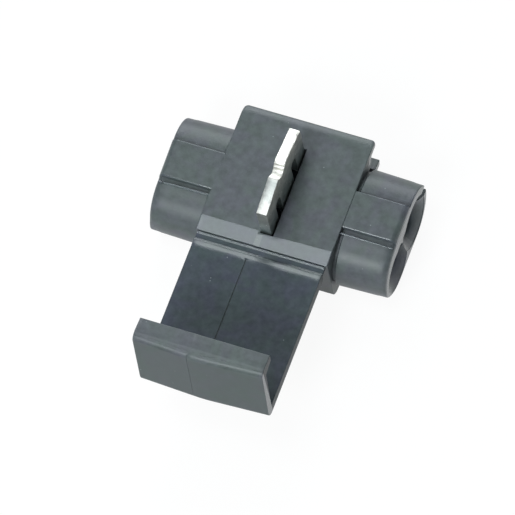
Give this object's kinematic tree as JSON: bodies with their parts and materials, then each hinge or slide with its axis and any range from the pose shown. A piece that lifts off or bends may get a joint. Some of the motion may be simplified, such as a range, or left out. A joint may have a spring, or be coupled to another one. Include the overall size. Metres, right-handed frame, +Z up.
{
  "type": "run-and-tap wire connector",
  "caption": "Grey plastic tap connector with parallel wire channels, a slotted metal contact standing raised in its slit, and a hooked cover lying open on a living hinge.",
  "frame": {"origin": "on the axis of the run channel, halfway along it", "axes": "+X along the wires, +Y away from the cover's hinge, +Z up, out of the face that the contact is pressed into"},
  "size_m": [0.029, 0.0359, 0.0181],
  "materials": {
    "moulding": "matt moulded polypropylene, mid grey",
    "contact_metal": "tin plated, bright sheared edge"
  },
  "bodies": {
    "housing": {"housing": "moulding", "hinge_web": "moulding"},
    "cover": {"cover": "moulding"},
    "contact": {"contact": "contact_metal"}
  },
  "joints": [
    {"name": "cover_hinge", "type": "hinge", "parent": "housing", "child": "cover", "pos_m": [0, -0.0103, 0.00463], "axis": [-1, 0, 0], "range_deg": [0, 180]},
    {"name": "contact_slide", "type": "slide", "parent": "housing", "child": "contact", "axis": [0, 0, -1], "range_m": [0, 0.00615]}
  ],
  "couplings": [
    {"joint": "contact_slide", "follows": "cover_hinge", "m_per_rad": 0.001957}
  ]
}
